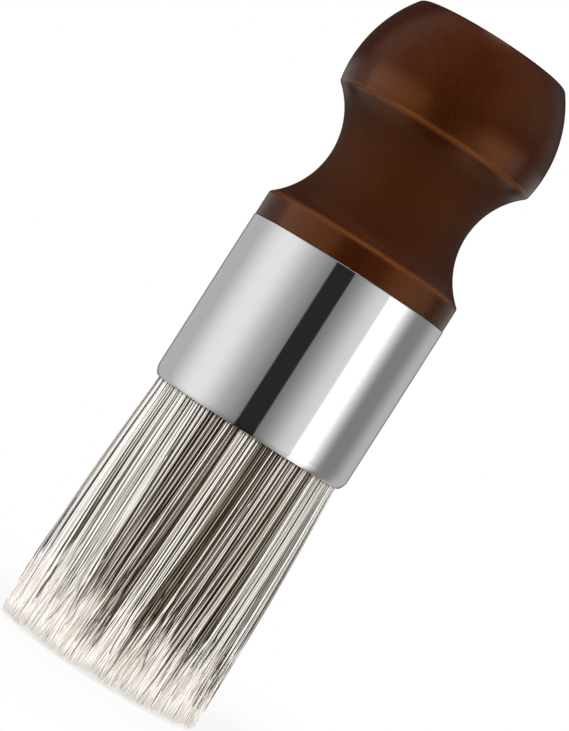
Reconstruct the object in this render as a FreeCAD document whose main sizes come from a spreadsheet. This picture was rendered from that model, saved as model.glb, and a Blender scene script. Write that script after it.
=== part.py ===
import FreeCAD, Part
import math
import os
import random
import Sketcher

# A round furniture wax brush, in millimetres.
#
# A turned hardwood palm grip sits in a drawn steel ferrule, and the ferrule holds
# a thick round knot of natural filaments that is set in resin. The brush stands
# on the flat-cut end of its knot. The origin is on the axis at the filaments'
# tips, and +Z runs up the axis to the flat top of the grip.

# Each driving size has one name, one value and what it measures.
DRIVING_SIZES = (
    ("bristle_length", 47.8, "filaments, from the tips to the ferrule's mouth"),
    ("bristle_flare", 1.6, "how far the knot's radius grows between mouth and tips"),
    ("root_length", 12.5, "filaments inside the ferrule, from its mouth to the resin"),
    ("strand_width", 0.6, "one outer strand of filaments, across"),
    ("strand_depth", 0.9, "one outer strand, from its back to its crest"),
    ("strand_play", 0.25, "how far a strand may lie behind the knot's surface"),
    ("strand_gap", 0.1, "least room between a strand and what lies behind it"),
    ("strand_fray", 1.6, "how far up from the tips the shortest strand ends"),
    ("taper_length", 4.0, "length over which a strand thins towards its tip"),
    ("tip_share", 0.45, "width of a strand's tip, as a share of its body"),
    ("tuft_pitch", 3.3, "distance between the tufts on the end of the knot"),
    ("tuft_height", 2.4, "height of those tufts"),
    ("tuft_fray", 0.8, "how far the shortest inner tuft ends above the tips"),
    ("ferrule_diameter", 38.0, "outside of the ferrule's tube"),
    ("ferrule_length", 32.0, "ferrule, from mouth to top edge"),
    ("ferrule_wall", 0.5, "sheet that the ferrule is drawn from"),
    ("lip_radius", 3.0, "outside radius of the curled lip at the mouth"),
    ("lip_turn", 40.0, "degrees that the lip is turned inwards"),
    ("mouth_clearance", 0.1, "room between the lip and the knot"),
    ("resin_clearance", 0.5, "room between the resin and the end of the handle's tenon"),
    ("socket_depth", 5.0, "depth that the inner filaments reach into the resin"),
    ("tenon_length", 10.0, "handle's tenon inside the ferrule"),
    ("tenon_clearance", 0.05, "room for glue round the tenon"),
    ("tenon_chamfer", 1.0, "lead-in on the tenon's end"),
    ("handle_height", 45.8, "handle above the ferrule"),
    ("collar_setback", 0.1, "how far the collar lies behind the ferrule's outside"),
    ("collar_height", 4.6, "straight collar, from the ferrule to the neck"),
    ("neck_diameter", 27.2, "narrowest place of the handle"),
    ("ridge_height", 26.9, "ridge between neck and head, above the ferrule"),
    ("head_swell", 0.45, "how far the head's widest place stands past the ridge"),
    ("top_diameter", 28.9, "flat top of the head, before its edge is rounded"),
    ("collar_round", 0.8, "rounding where the collar meets the neck"),
    ("ridge_round", 1.0, "rounding of the ridge"),
    ("rim_round", 1.0, "rounding of the edge round the flat top"),
)

# Sizes that follow from the driving ones, each written once as a formula.
FERRULE_RADIUS = "(sizes.ferrule_diameter / 2)"
BORE_RADIUS = f"({FERRULE_RADIUS} - sizes.ferrule_wall)"
LIP_DROP = "(sizes.lip_radius * sin(sizes.lip_turn))"
LIP_OPENING = (
    f"({FERRULE_RADIUS} - sizes.lip_radius"
    " + (sizes.lip_radius - sizes.ferrule_wall) * cos(sizes.lip_turn))"
)
KNOT_RADIUS = f"({LIP_OPENING} - sizes.mouth_clearance)"
CORE_RADIUS = (
    f"({KNOT_RADIUS} - sizes.strand_play - sizes.strand_depth - sizes.strand_gap)"
)
RESIN_BASE = "(sizes.bristle_length + sizes.root_length)"
FERRULE_TOP = "(sizes.bristle_length + sizes.ferrule_length)"
RESIN_HEIGHT = (
    "(sizes.ferrule_length - sizes.tenon_length - sizes.resin_clearance - sizes.root_length)"
)
TENON_RADIUS = f"({BORE_RADIUS} - sizes.tenon_clearance)"
COLLAR_RADIUS = f"({FERRULE_RADIUS} - sizes.collar_setback)"
NECK_DEPTH = f"({COLLAR_RADIUS} - sizes.neck_diameter / 2)"
NECK_CURVE = (
    f"(((sizes.ridge_height - sizes.collar_height) ^ 2 / 4 + {NECK_DEPTH} ^ 2)"
    f" / (2 * {NECK_DEPTH}))"
)

# The head's side is one arc from the ridge to the top. It is the arc whose widest
# place stands out from the ridge by the swell and from the top's edge by the inset.
HEAD_RISE = "(sizes.handle_height - sizes.ridge_height)"
HEAD_INSET = f"({COLLAR_RADIUS} + sizes.head_swell - sizes.top_diameter / 2)"
HEAD_CHORD = f"({HEAD_RISE} ^ 2 + ({HEAD_INSET} - sizes.head_swell) ^ 2)"
HEAD_CURVE = (
    f"((({HEAD_INSET} + sizes.head_swell) * {HEAD_CHORD}"
    f" - 2 * {HEAD_RISE} * sqrt(sizes.head_swell * {HEAD_INSET} * {HEAD_CHORD}))"
    f" / (2 * ({HEAD_INSET} - sizes.head_swell) ^ 2))"
)
HEAD_CENTRE_HEIGHT = (
    f"(sizes.ridge_height + sqrt(2 * {HEAD_CURVE} * sizes.head_swell - sizes.head_swell ^ 2))"
)

# Share of the outer strands in each natural colour, and the seed that deals them out.
STRAND_COLOURS = (("brown_filaments", 0.46), ("cream_filaments", 0.34), ("grey_filaments", 0.20))
STRAND_SEED = 7
TUFT_SEED = 11
TUFT_SIDES = 6

doc = FreeCAD.newDocument("wax_brush")
sheet = doc.addObject("Spreadsheet::Sheet", "sizes")
for row, (alias, value, meaning) in enumerate(DRIVING_SIZES, start=1):
    sheet.set(f"A{row}", alias)
    sheet.set(f"B{row}", str(value))
    sheet.set(f"C{row}", meaning)
    sheet.setAlias(f"B{row}", alias)
doc.recompute()


def value_of(formula):
    """The number that a formula on the sheet's sizes gives."""
    return float(sheet.evalExpression(formula))


def new_body(name, base_height="0"):
    """An empty body on the axis, its base at a height given by a formula on the sizes."""
    body = doc.addObject("PartDesign::Body", name)
    body.Label = name
    body.setExpression("Placement.Base.z", base_height)
    return body


def profile_sketch(body, name):
    """A sketch in the body's XZ plane: x is the radius and y is the height."""
    plane = next(part for part in body.Origin.OriginFeatures if part.Role == "XZ_Plane")
    sketch = body.newObject("Sketcher::SketchObject", name)
    sketch.AttachmentSupport = (plane, "")
    sketch.MapMode = "FlatFace"
    return sketch


def line(sketch, start, end):
    """Adds a straight edge between two (radius, height) points."""
    return sketch.addGeometry(Part.LineSegment(FreeCAD.Vector(*start, 0), FreeCAD.Vector(*end, 0)))


def arc(sketch, centre, start, end):
    """Adds an arc about a centre, anticlockwise from start to end."""
    radius = math.dist(centre, start)
    circle = Part.Circle(FreeCAD.Vector(*centre, 0), FreeCAD.Vector(0, 0, 1), radius)
    from_angle = math.atan2(start[1] - centre[1], start[0] - centre[0])
    to_angle = math.atan2(end[1] - centre[1], end[0] - centre[0])
    if to_angle < from_angle:
        to_angle += 2 * math.pi
    return sketch.addGeometry(Part.ArcOfCircle(circle, from_angle, to_angle))


# A constraint counts the points of an edge in this order, and the sketch's own two
# axes back from the first edge. Its origin is where the radius axis starts.
EDGE_POINTS = ("whole", "start", "end", "centre")
SKETCH_AXES = ("turning axis", "radius axis")
ORIGIN = ("radius axis", "start")


def counted(element):
    """The number of an edge, or of an axis or an edge's point given in words."""
    if element in SKETCH_AXES:
        return SKETCH_AXES.index(element) - len(SKETCH_AXES)
    if element in EDGE_POINTS:
        return EDGE_POINTS.index(element)
    return element


def relate(sketch, kind, *elements):
    """Adds a geometric constraint, such as Coincident or Vertical."""
    sketch.addConstraint(Sketcher.Constraint(kind, *map(counted, elements)))


def measure(sketch, name, formula, kind, *elements):
    """Adds a named dimension and binds it to a formula on the sheet's sizes."""
    dimension = Sketcher.Constraint(kind, *map(counted, elements), value_of(formula))
    index = sketch.addConstraint(dimension)
    sketch.renameConstraint(index, name)
    sketch.setExpression(f"Constraints.{name}", formula)


def join(sketch, *corners):
    """Makes pairs of edge ends meet, each pair given as edge, end, edge, end."""
    for corner in corners:
        relate(sketch, "Coincident", *corner)


def turn(body, sketch, name):
    """Revolves a profile about the axis into a solid, as on a lathe."""
    turned = body.newObject("PartDesign::Revolution", name)
    turned.Profile = sketch
    turned.ReferenceAxis = (sketch, ["V_Axis"])
    turned.Angle = 360
    sketch.Visibility = False
    doc.recompute()
    return turned


def round_edge(body, name, radius, height, size_alias):
    """Rounds the circular edge that the body has at a radius and a height above its base."""
    base = body.Tip
    distances = {
        f"Edge{index}": math.hypot(edge.Curve.Radius - radius, edge.Curve.Center.z - height)
        for index, edge in enumerate(base.Shape.Edges, start=1)
        if isinstance(edge.Curve, Part.Circle) and edge.Closed
    }
    rounded = body.newObject("PartDesign::Fillet", name)
    rounded.Base = (base, [min(distances, key=distances.get)])
    rounded.setExpression("Radius", f"sizes.{size_alias}")
    doc.recompute()
    return rounded


def make_handle():
    """The turned grip: tenon, collar, scooped neck, ridge and domed head with a flat top.

    Collar and ridge were cut from stock of one diameter, so the neck's arc spans
    them evenly. The head's arc starts at the ridge and swells a little past it.
    """
    body = new_body("handle", FERRULE_TOP)
    sketch = profile_sketch(body, "handle_profile")
    tenon_radius = value_of(TENON_RADIUS)
    tenon_length = value_of("sizes.tenon_length")
    chamfer = value_of("sizes.tenon_chamfer")
    collar_radius = value_of(COLLAR_RADIUS)
    collar_height = value_of("sizes.collar_height")
    ridge_height = value_of("sizes.ridge_height")
    handle_height = value_of("sizes.handle_height")
    neck_centre = (
        value_of("sizes.neck_diameter / 2") + value_of(NECK_CURVE),
        (collar_height + ridge_height) / 2,
    )
    head_centre = (
        collar_radius + value_of(f"sizes.head_swell - {HEAD_CURVE}"),
        value_of(HEAD_CENTRE_HEIGHT),
    )
    top_radius = value_of("sizes.top_diameter / 2")

    tenon_end = line(sketch, (0, -tenon_length), (tenon_radius - chamfer, -tenon_length))
    lead_in = line(
        sketch, (tenon_radius - chamfer, -tenon_length), (tenon_radius, chamfer - tenon_length)
    )
    tenon_side = line(sketch, (tenon_radius, chamfer - tenon_length), (tenon_radius, 0))
    shoulder = line(sketch, (tenon_radius, 0), (collar_radius, 0))
    collar = line(sketch, (collar_radius, 0), (collar_radius, collar_height))
    neck = arc(sketch, neck_centre, (collar_radius, ridge_height), (collar_radius, collar_height))
    head = arc(sketch, head_centre, (collar_radius, ridge_height), (top_radius, handle_height))
    top = line(sketch, (top_radius, handle_height), (0, handle_height))
    middle = line(sketch, (0, handle_height), (0, -tenon_length))

    join(
        sketch,
        (tenon_end, "end", lead_in, "start"),
        (lead_in, "end", tenon_side, "start"),
        (tenon_side, "end", shoulder, "start"),
        (shoulder, "end", collar, "start"),
        (collar, "end", neck, "end"),
        (neck, "start", head, "start"),
        (head, "end", top, "start"),
        (top, "end", middle, "start"),
        (middle, "end", tenon_end, "start"),
    )
    for level in (tenon_end, shoulder, top):
        relate(sketch, "Horizontal", level)
    for upright in (tenon_side, collar, middle):
        relate(sketch, "Vertical", upright)
    relate(sketch, "PointOnObject", middle, "start", "turning axis")
    relate(sketch, "PointOnObject", shoulder, "start", "radius axis")
    relate(sketch, "Vertical", neck, "start", neck, "end")
    measure(sketch, "tenon_radius", TENON_RADIUS, "DistanceX", *ORIGIN, tenon_side, "end")
    measure(sketch, "collar_radius", COLLAR_RADIUS, "DistanceX", *ORIGIN, collar, "start")
    measure(sketch, "collar_top", "sizes.collar_height", "DistanceY", *ORIGIN, collar, "end")
    measure(sketch, "ridge_level", "sizes.ridge_height", "DistanceY", *ORIGIN, neck, "start")
    measure(sketch, "neck_curve", NECK_CURVE, "Radius", neck)
    measure(sketch, "head_curve", HEAD_CURVE, "Radius", head)
    measure(sketch, "top_radius", "sizes.top_diameter / 2", "DistanceX", *ORIGIN, top, "start")
    measure(sketch, "top_level", "sizes.handle_height", "DistanceY", *ORIGIN, top, "start")
    measure(sketch, "tenon_reach", "sizes.tenon_length", "DistanceY", tenon_end, "start", *ORIGIN)
    for axis in "XY":
        measure(
            sketch, f"lead_in_{axis}", "sizes.tenon_chamfer",
            f"Distance{axis}", lead_in, "start", lead_in, "end",
        )
    turn(body, sketch, "handle_turning")
    round_edge(body, "rim_rounding", top_radius, handle_height, "rim_round")
    round_edge(body, "ridge_rounding", collar_radius, ridge_height, "ridge_round")
    round_edge(body, "collar_rounding", collar_radius, collar_height, "collar_round")
    return body


def make_ferrule():
    """The drawn tube, open at the top, with its mouth curled inwards round the knot."""
    body = new_body("ferrule", "sizes.bristle_length")
    sketch = profile_sketch(body, "ferrule_profile")
    outside = value_of(FERRULE_RADIUS)
    inside = value_of(BORE_RADIUS)
    length = value_of("sizes.ferrule_length")
    lip_radius = value_of("sizes.lip_radius")
    lip_turn = math.radians(value_of("sizes.lip_turn"))
    centre = (outside - lip_radius, value_of(LIP_DROP))

    def on_lip(radius):
        return (
            centre[0] + radius * math.cos(lip_turn),
            centre[1] - radius * math.sin(lip_turn),
        )

    outer_end = on_lip(lip_radius)
    inner_end = on_lip(inside - centre[0])
    outer_curl = arc(sketch, centre, outer_end, (outside, centre[1]))
    inner_curl = arc(sketch, centre, inner_end, (inside, centre[1]))
    lip_edge = line(sketch, outer_end, inner_end)
    outer_wall = line(sketch, (outside, centre[1]), (outside, length))
    top_edge = line(sketch, (outside, length), (inside, length))
    inner_wall = line(sketch, (inside, length), (inside, centre[1]))

    join(
        sketch,
        (outer_curl, "start", lip_edge, "start"),
        (lip_edge, "end", inner_curl, "start"),
        (inner_curl, "centre", outer_curl, "centre"),
        (outer_wall, "end", top_edge, "start"),
        (top_edge, "end", inner_wall, "start"),
    )
    relate(sketch, "Tangent", outer_curl, "end", outer_wall, "start")
    relate(sketch, "Tangent", inner_curl, "end", inner_wall, "end")
    relate(sketch, "Vertical", outer_wall)
    relate(sketch, "Horizontal", top_edge)
    relate(sketch, "PointOnObject", outer_curl, "centre", lip_edge)
    relate(sketch, "PointOnObject", outer_curl, "start", "radius axis")
    measure(sketch, "outside", FERRULE_RADIUS, "DistanceX", *ORIGIN, outer_wall, "end")
    measure(sketch, "wall", "sizes.ferrule_wall", "DistanceX", top_edge, "end", top_edge, "start")
    measure(sketch, "length", "sizes.ferrule_length", "DistanceY", *ORIGIN, outer_wall, "end")
    measure(sketch, "curl", "sizes.lip_radius", "Radius", outer_curl)
    measure(sketch, "curl_drop", LIP_DROP, "DistanceY", *ORIGIN, outer_curl, "centre")
    turn(body, sketch, "ferrule_turning")
    return body


def make_resin():
    """The plug that bonds the filaments' roots into the ferrule, socketed for the inner ones."""
    body = new_body("setting_resin", RESIN_BASE)
    sketch = profile_sketch(body, "resin_profile")
    outside = value_of(BORE_RADIUS)
    socket = value_of(CORE_RADIUS)
    height = value_of(RESIN_HEIGHT)
    depth = value_of("sizes.socket_depth")
    corners = (
        (0, depth), (socket, depth), (socket, 0), (outside, 0), (outside, height), (0, height),
    )
    edges = [
        line(sketch, corner, following)
        for corner, following in zip(corners, corners[1:] + corners[:1])
    ]
    roof, socket_wall, base, side, top, middle = edges
    for edge, following in zip(edges, edges[1:] + edges[:1]):
        join(sketch, (edge, "end", following, "start"))
    for level in (roof, base, top):
        relate(sketch, "Horizontal", level)
    for upright in (socket_wall, side, middle):
        relate(sketch, "Vertical", upright)
    relate(sketch, "PointOnObject", middle, "start", "turning axis")
    relate(sketch, "PointOnObject", base, "start", "radius axis")
    measure(sketch, "socket_radius", CORE_RADIUS, "DistanceX", *ORIGIN, socket_wall, "start")
    measure(sketch, "bore_radius", BORE_RADIUS, "DistanceX", *ORIGIN, side, "start")
    measure(sketch, "depth", "sizes.socket_depth", "DistanceY", *ORIGIN, roof, "start")
    measure(sketch, "height", RESIN_HEIGHT, "DistanceY", *ORIGIN, top, "start")
    turn(body, sketch, "resin_turning")
    return body


def make_knot_middle():
    """The close-packed middle of the knot, from its tufts up into the resin's socket.

    Its side flares in three straight steps, as the strands that lie on it do.
    """
    body = new_body("knot_middle")
    sketch = profile_sketch(body, "knot_profile")
    side = (
        (f"{CORE_RADIUS} + sizes.bristle_flare * (1 - sizes.tuft_height / (3 * sizes.bristle_length))",
         "sizes.tuft_height"),
        (f"{CORE_RADIUS} + sizes.bristle_flare * 8 / 9", "sizes.bristle_length / 3"),
        (f"{CORE_RADIUS} + sizes.bristle_flare * 5 / 9", "sizes.bristle_length * 2 / 3"),
        (CORE_RADIUS, "sizes.bristle_length"),
        (CORE_RADIUS, f"{RESIN_BASE} + sizes.socket_depth"),
    )
    corners = [(value_of(radius), value_of(height)) for radius, height in side]
    corners = [(0, corners[0][1]), *corners, (0, corners[-1][1])]
    edges = [
        line(sketch, corner, following)
        for corner, following in zip(corners, corners[1:] + corners[:1])
    ]
    for edge, following in zip(edges, edges[1:] + edges[:1]):
        join(sketch, (edge, "end", following, "start"))
    root_face, middle = edges[-2:]
    relate(sketch, "Horizontal", edges[0])
    relate(sketch, "Horizontal", root_face)
    relate(sketch, "Vertical", middle)
    relate(sketch, "PointOnObject", middle, "start", "turning axis")
    for step, (edge, (radius, height)) in enumerate(zip(edges, side)):
        measure(sketch, f"radius_{step}", radius, "DistanceX", *ORIGIN, edge, "end")
        measure(sketch, f"height_{step}", height, "DistanceY", *ORIGIN, edge, "end")
    turn(body, sketch, "knot_turning")
    return body


def flat_face(corners):
    """A plane face whose outside is the side that sees its corners run anticlockwise."""
    return Part.Face(Part.makePolygon(corners + corners[:1]))


def prismatoid(sections):
    """A closed solid over like polygons in level planes, from the lowest to the highest.

    The polygons are scaled copies of one shape, so each side between two of them
    is flat. Their corners run anticlockwise seen from above.
    """
    faces = [flat_face(sections[0][::-1]), flat_face(sections[-1])]
    for lower, upper in zip(sections, sections[1:]):
        for index, corner in enumerate(lower):
            following = (index + 1) % len(lower)
            faces.append(flat_face([corner, lower[following], upper[following], upper[index]]))
    return Part.makeSolid(Part.makeShell(faces))


def tuft(centre, direction, corner_radius, tip_height):
    """One six-sided tuft, rising from its thin tip until it is just inside the knot."""
    height = value_of("sizes.tuft_height")
    bite = value_of("sizes.strand_gap")
    tip_share = value_of("sizes.tip_share")
    sections = []
    for level, share in ((tip_height, tip_share), (height, 1.0), (height + bite, 1.0)):
        corners = [direction + corner * 2 * math.pi / TUFT_SIDES for corner in range(TUFT_SIDES)]
        sections.append([
            FreeCAD.Vector(
                centre[0] + share * corner_radius * math.cos(angle),
                centre[1] + share * corner_radius * math.sin(angle),
                level,
            )
            for angle in corners
        ])
    return prismatoid(sections)


def make_tip_tufts():
    """Tufts in rings on the end of the knot, six more in each ring than in the last.

    The brush stands on the outermost ring, and the others end at uneven heights.
    """
    dice = random.Random(TUFT_SEED)
    pitch = value_of("sizes.tuft_pitch")
    fray = value_of("sizes.tuft_fray")
    reach = value_of(f"{CORE_RADIUS} + sizes.bristle_flare") - pitch / 2
    rings = round(reach / pitch)
    ring_step = reach / rings
    corner_radius = (ring_step - value_of("sizes.strand_gap")) / 2
    tufts = [tuft((0, 0), 0, corner_radius, dice.uniform(0, fray))]
    for ring in range(1, rings + 1):
        count = TUFT_SIDES * ring
        for place in range(count):
            direction = 2 * math.pi * place / count
            centre = (
                ring * ring_step * math.cos(direction),
                ring * ring_step * math.sin(direction),
            )
            tip_height = 0 if ring == rings else dice.uniform(0, fray)
            tufts.append(tuft(centre, direction, corner_radius, tip_height))
    feature = doc.addObject("Part::Feature", "tip_tufts")
    feature.Shape = Part.makeCompound(tufts)
    feature.Placement = FreeCAD.Placement()
    return feature


def make_inner_filaments():
    """The middle of the knot and the tufts on its end, as one solid."""
    fused = doc.addObject("Part::Fuse", "inner_filaments")
    fused.Label = "inner_filaments"
    fused.Base = make_knot_middle()
    fused.Tool = make_tip_tufts()
    doc.recompute()
    return fused


def strand(direction, width, depth, setback, tip_height):
    """One three-sided outer strand with its crest outwards, thinning towards its tip.

    It runs straight down inside the ferrule. Below the mouth the knot's radius is
    mouth radius + flare x (1 - (height / length)^2), and the strand widens with it.
    """
    length = value_of("sizes.bristle_length")
    flare = value_of("sizes.bristle_flare")
    mouth_radius = value_of(KNOT_RADIUS)
    tip_share = value_of("sizes.tip_share")
    taper_height = tip_height + value_of("sizes.taper_length")
    levels = (tip_height, taper_height, length / 3, length * 2 / 3, length, value_of(RESIN_BASE))
    sections = []
    for level in levels:
        spread = flare * (1 - (min(level, length) / length) ** 2)
        share = 1 + spread / mouth_radius
        if level == tip_height:
            share *= tip_share
        anchor = mouth_radius + spread - setback - depth * 2 / 3
        outline = ((-depth / 3, width / 2), (-depth / 3, -width / 2), (depth * 2 / 3, 0))
        sections.append([
            FreeCAD.Vector(
                (anchor + share * outward) * math.cos(direction)
                - share * across * math.sin(direction),
                (anchor + share * outward) * math.sin(direction)
                + share * across * math.cos(direction),
                level,
            )
            for outward, across in outline
        ])
    return prismatoid(sections)


def make_outer_filaments():
    """The strands round the outside of the knot, dealt out to one node for each colour.

    Each strand keeps inside its own sector of the circle, so none touches the next.
    """
    dice = random.Random(STRAND_SEED)
    depth = value_of("sizes.strand_depth")
    play = value_of("sizes.strand_play")
    fray = value_of("sizes.strand_fray")
    back_radius = value_of(KNOT_RADIUS) - play - depth
    count = int(2 * math.pi * back_radius / value_of("sizes.strand_width"))
    sector = 2 * math.pi / count
    strands = {name: [] for name, _ in STRAND_COLOURS}
    names = [name for name, _ in STRAND_COLOURS]
    shares = [share for _, share in STRAND_COLOURS]
    for index in range(count):
        fullness = dice.uniform(0.78, 0.97)
        width = 2 * back_radius * math.tan(sector / 2) * fullness
        lean = dice.uniform(-1, 1) * (1 - fullness) * sector / 2
        setback = dice.uniform(0, play)
        tip_height = dice.uniform(0, fray)
        colour = dice.choices(names, shares)[0]
        strands[colour].append(strand(index * sector + lean, width, depth, setback, tip_height))
    groups = []
    for name in names:
        group = doc.addObject("Part::Feature", name)
        group.Label = name
        group.Shape = Part.makeCompound(strands[name])
        group.Placement = FreeCAD.Placement()
        groups.append(group)
    return groups


subparts = [
    make_handle(),
    make_ferrule(),
    make_resin(),
    make_inner_filaments(),
    *make_outer_filaments(),
]
doc.recompute()

for thing in doc.Objects:
    if "Invalid" in thing.State or "Error" in thing.State:
        raise RuntimeError(f"{thing.Label} did not build: {thing.State}")
for subpart in subparts:
    if subpart.Shape.isNull() or not subpart.Shape.isValid():
        raise RuntimeError(f"{subpart.Label} has no valid shape")

os.makedirs("parts", exist_ok=True)
for subpart in subparts:
    subpart.Shape.exportStep(f"parts/{subpart.Label}.step")
    print(
        subpart.Label, "solids", len(subpart.Shape.Solids),
        "volume cm3", round(subpart.Shape.Volume / 1000, 3),
    )
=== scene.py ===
import math

import bpy
import numpy as np
from mathutils import Matrix, Vector


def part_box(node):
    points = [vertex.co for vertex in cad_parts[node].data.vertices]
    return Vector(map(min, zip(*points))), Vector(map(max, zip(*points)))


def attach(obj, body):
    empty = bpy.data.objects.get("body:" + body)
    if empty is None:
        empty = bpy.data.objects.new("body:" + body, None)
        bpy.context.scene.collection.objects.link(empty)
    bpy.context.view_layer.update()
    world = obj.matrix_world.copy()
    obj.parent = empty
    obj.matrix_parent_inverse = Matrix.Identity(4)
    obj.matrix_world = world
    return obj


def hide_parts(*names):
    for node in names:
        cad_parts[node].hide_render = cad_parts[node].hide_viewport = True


# A round furniture wax brush that stands on its filaments: a turned and lacquered grip,
# a bright ferrule with a curled-in mouth, and a thick knot of brown, grey and cream
# bristle. Lengths are in millimetres where nothing else is said, and MM turns them into
# metres. A height is measured from the tips, up the brush's own axis. A bearing is the
# angle round the axis in degrees, from -Y towards +X.

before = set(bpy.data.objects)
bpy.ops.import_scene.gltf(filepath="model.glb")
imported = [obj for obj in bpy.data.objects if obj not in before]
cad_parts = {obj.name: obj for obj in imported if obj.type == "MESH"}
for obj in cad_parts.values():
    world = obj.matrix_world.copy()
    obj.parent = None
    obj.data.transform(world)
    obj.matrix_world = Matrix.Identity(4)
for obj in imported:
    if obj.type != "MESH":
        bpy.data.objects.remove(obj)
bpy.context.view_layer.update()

MM = 0.001


def height_of(node, end):
    """The height in millimetres of a CAD node's lower end (0) or upper end (1)."""
    return round(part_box(node)[end][2] / MM, 2)


# The ferrule: its two ends, its outside, its sheet, and the radius and angle of its curl.
FERRULE_MOUTH = height_of("ferrule", 0)
FERRULE_TOP = height_of("ferrule", 1)
FERRULE_RADIUS = 19.0
SHEET_THICKNESS = 0.5
LIP_RADIUS = 3.0
LIP_TURN = 40.0

# The grip: its two ends, the collar that sits on the ferrule, and the ridge over the neck.
TENON_END = height_of("handle", 0)
HEAD_TOP = height_of("handle", 1)
COLLAR_RADIUS = 18.9
COLLAR_TOP = 84.4
RIDGE = 106.7

# The knot: its radius at the ferrule's mouth, and how much more it has at the tips.
MOUTH_RADIUS = 17.8
FLARE = 1.6


# Making and dressing meshes

def linear(hex_colour):
    """The linear colour that an sRGB hex value stands for."""
    values = [int(hex_colour[at:at + 2], 16) / 255 for at in (1, 3, 5)]
    red, green, blue = (
        value / 12.92 if value <= 0.04045 else ((value + 0.055) / 1.055) ** 2.4
        for value in values
    )
    return red, green, blue, 1.0


def add_node(tree, kind, settings=None, links=None):
    """Adds one node to a tree, with its settings, and with a value or a link for each input."""
    node = tree.nodes.new(kind)
    for name, value in (settings or {}).items():
        setattr(node, name, value)
    for name, value in (links or {}).items():
        socket = node.inputs[name]
        if isinstance(value, bpy.types.NodeSocket):
            tree.links.new(value, socket)
        else:
            socket.default_value = value
    return node


def solid_mesh(name, corners, faces, finish, strand_map=None):
    """A smooth piece on the root body, from corner points in millimetres and its faces.

    A strand map has one row for each corner point. The piece carries it twice, once for
    its finish to read and once, as OFBake, for the textures that are made from the finish.
    """
    mesh = bpy.data.meshes.new(name)
    mesh.from_pydata((corners * MM).tolist(), [], faces)
    mesh.polygons.foreach_set("use_smooth", np.ones(len(mesh.polygons), dtype=bool))
    if strand_map is not None:
        at_corner = np.empty(len(mesh.loops), dtype=np.int32)
        mesh.loops.foreach_get("vertex_index", at_corner)
        for map_name in ("strand", "OFBake"):
            layer = mesh.uv_layers.new(name=map_name)
            layer.data.foreach_set("uv", strand_map[at_corner].ravel())
    mesh.materials.append(finish)
    mesh.update()
    piece = bpy.data.objects.new(name, mesh)
    bpy.context.scene.collection.objects.link(piece)
    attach(piece, "root")
    return piece


# Turned pieces

def run(start, end, step=1.0):
    """A straight run of outline points, with one close to each end to hold the shading flat."""
    start, end = np.array(start, float), np.array(end, float)
    length = np.linalg.norm(end - start)
    hold = min(0.03 / length, 0.2)
    between = np.linspace(0, 1, int(length / step) + 2)[1:-1]
    shares = np.sort(np.concatenate(([0, hold], between, [1 - hold, 1])))
    return start + shares[:, None] * (end - start)


def bend(centre, radius, from_angle, to_angle, count):
    """Outline points on an arc: centre + radius times (cosine, sine) of an angle in degrees."""
    angle = np.radians(np.linspace(from_angle, to_angle, count))
    return np.array(centre) + radius * np.column_stack((np.cos(angle), np.sin(angle)))


def angle_from(centre, point):
    """The angle in degrees at which a point is seen from an arc's centre."""
    return math.degrees(math.atan2(point[1] - centre[1], point[0] - centre[0]))


def outline_of(*stretches):
    """One outline from its stretches, without the points that two of them share."""
    points = np.concatenate(stretches)
    apart = np.linalg.norm(np.diff(points, axis=0), axis=1) > 1e-6
    return points[np.concatenate(([True], apart))]


def turned(name, outline, finish, around=384):
    """A piece turned on the lathe: outline point (r, z) at angle a is (r cos a, r sin a, z).

    An outline that starts and ends on the axis is closed there by a single point at
    each pole. Any other outline is a loop, and closes on itself as a ring does.
    """
    closed_on_axis = outline[0, 0] < 1e-9 and outline[-1, 0] < 1e-9
    rings = outline[1:-1] if closed_on_axis else outline
    angle = np.arange(around) * 2 * math.pi / around
    corners = np.stack(
        (
            rings[:, :1] * np.cos(angle),
            rings[:, :1] * np.sin(angle),
            np.repeat(rings[:, 1:], around, axis=1),
        ),
        axis=-1,
    ).reshape(-1, 3)
    last = len(rings) if not closed_on_axis else len(rings) - 1
    ring = np.arange(last)[:, None] * around
    above = (np.arange(1, last + 1) % len(rings))[:, None] * around
    here = np.arange(around)
    beyond = (here + 1) % around
    faces = np.stack((ring + here, ring + beyond, above + beyond, above + here), axis=-1)
    faces = faces.reshape(-1, 4).tolist()
    if closed_on_axis:
        low_pole = np.full(around, len(corners))
        high_pole = low_pole + 1
        corners = np.concatenate((corners, [[0, 0, outline[0, 1]], [0, 0, outline[-1, 1]]]))
        top_ring = (len(rings) - 1) * around
        faces += np.column_stack((low_pole, beyond, here)).tolist()
        faces += np.column_stack((high_pole, top_ring + here, top_ring + beyond)).tolist()
    return solid_mesh(name, corners, faces, finish)


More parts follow.
